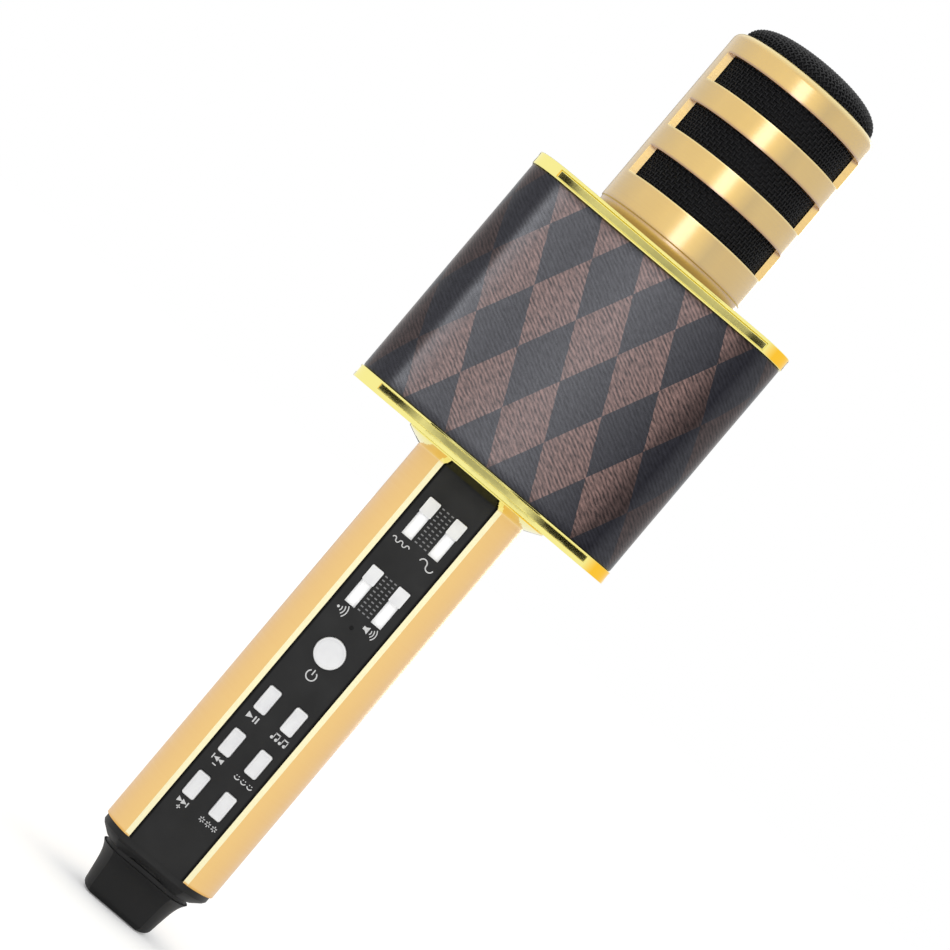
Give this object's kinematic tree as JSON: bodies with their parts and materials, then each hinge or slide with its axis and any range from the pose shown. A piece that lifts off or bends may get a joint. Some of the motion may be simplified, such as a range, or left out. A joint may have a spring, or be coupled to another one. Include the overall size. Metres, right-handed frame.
{
  "type": "karaoke microphone",
  "caption": "Hand-held karaoke microphone: slotted gold head with a mesh basket, leather-wrapped speaker box, gold handle with slider and button panel, black tail.",
  "frame": {"origin": "centre of the flat end face of the tail cap", "axes": "+Z from the tail to the tip, along the handle's axis; -Y is the side with the control panel; +Y is the side with the speaker grille; +X is to the right when looking at the panel with the tip up"},
  "size_m": [0.0788, 0.058, 0.2725],
  "materials": {
    "satin_gold": "satin",
    "mirror_gold": "mirror gold plating",
    "handle_gold": "satin gold anodised",
    "panel_black": "matt, printed in white",
    "black_plastic": "matt moulded",
    "black_mesh": "satin black woven wire",
    "black_grille": "satin black punched sheet",
    "black_foam": "open-cell foam",
    "black_rubber": "soft",
    "check_leather": "two-tone check, grained",
    "bare_steel": "plain",
    "dark_steel": "ferrite and zinc",
    "paper_cone": "pressed paper",
    "circuit_board": "glass-fibre board",
    "smoked_lens": "smoked",
    "cell_wrap": "shrink wrap",
    "wire_jacket": "soft jacket",
    "button_white": "satin white"
  },
  "bodies": {
    "mic": {"head_cage": "satin_gold", "mesh_basket": "black_mesh", "foam_liner": "black_foam", "mic_capsule": "bare_steel", "capsule_mount": "black_rubber", "head_base": "black_plastic", "head_nut": "bare_steel", "top_plate": "mirror_gold", "bottom_plate": "mirror_gold", "box_shell": "black_plastic", "leather_wrap": "check_leather", "speaker_grille": "black_grille", "grille_bezel": "mirror_gold", "speaker_baskets": "bare_steel", "speaker_magnets": "dark_steel", "speaker_cones": "paper_cone", "amp_board": "circuit_board", "amp_screws": "bare_steel", "plate_screws": "bare_steel", "neck_collar": "mirror_gold", "neck_insert": "black_plastic", "neck_screws": "bare_steel", "handle_tube": "handle_gold", "control_panel": "panel_black", "main_board": "circuit_board", "board_components": "black_plastic", "slide_pots": "bare_steel", "tact_switches": "black_plastic", "board_screws": "bare_steel", "indicator_lens": "smoked_lens", "battery_cell": "cell_wrap", "battery_holder": "black_plastic", "battery_contacts": "bare_steel", "wire_loom": "wire_jacket", "tail_ring": "black_plastic", "tail_cap": "black_plastic", "tail_screw": "bare_steel", "io_board": "circuit_board", "charging_socket": "bare_steel", "audio_jack": "black_plastic"},
    "treble_knob_body": {"treble_knob": "button_white"},
    "bass_knob_body": {"bass_knob": "button_white"},
    "echo_knob_body": {"echo_knob": "button_white"},
    "volume_knob_body": {"volume_knob": "button_white"},
    "power_button_body": {"power_button": "button_white"},
    "play_button_body": {"play_button": "button_white"},
    "previous_button_body": {"previous_button": "button_white"},
    "next_button_body": {"next_button": "button_white"},
    "music_button_body": {"music_button": "button_white"},
    "laughter_button_body": {"laughter_button": "button_white"},
    "cheer_button_body": {"cheer_button": "button_white"}
  },
  "joints": [
    {"name": "treble_slide", "type": "slide", "parent": "mic", "child": "treble_knob_body", "axis": [0, 0, 1], "range_m": [-0.0068, 0]},
    {"name": "bass_slide", "type": "slide", "parent": "mic", "child": "bass_knob_body", "axis": [0, 0, 1], "range_m": [-0.0068, 0]},
    {"name": "echo_slide", "type": "slide", "parent": "mic", "child": "echo_knob_body", "axis": [0, 0, 1], "range_m": [-0.0068, 0]},
    {"name": "volume_slide", "type": "slide", "parent": "mic", "child": "volume_knob_body", "axis": [0, 0, 1], "range_m": [-0.0068, 0]},
    {"name": "power_press", "type": "slide", "parent": "mic", "child": "power_button_body", "axis": [0, 1, 0], "range_m": [0, 0.0005], "stiffness_N_per_m": 400, "springref_m": -0.001},
    {"name": "play_press", "type": "slide", "parent": "mic", "child": "play_button_body", "axis": [0, 1, 0], "range_m": [0, 0.0005], "stiffness_N_per_m": 400, "springref_m": -0.001},
    {"name": "previous_press", "type": "slide", "parent": "mic", "child": "previous_button_body", "axis": [0, 1, 0], "range_m": [0, 0.0005], "stiffness_N_per_m": 400, "springref_m": -0.001},
    {"name": "next_press", "type": "slide", "parent": "mic", "child": "next_button_body", "axis": [0, 1, 0], "range_m": [0, 0.0005], "stiffness_N_per_m": 400, "springref_m": -0.001},
    {"name": "music_press", "type": "slide", "parent": "mic", "child": "music_button_body", "axis": [0, 1, 0], "range_m": [0, 0.0005], "stiffness_N_per_m": 400, "springref_m": -0.001},
    {"name": "laughter_press", "type": "slide", "parent": "mic", "child": "laughter_button_body", "axis": [0, 1, 0], "range_m": [0, 0.0005], "stiffness_N_per_m": 400, "springref_m": -0.001},
    {"name": "cheer_press", "type": "slide", "parent": "mic", "child": "cheer_button_body", "axis": [0, 1, 0], "range_m": [0, 0.0005], "stiffness_N_per_m": 400, "springref_m": -0.001}
  ]
}
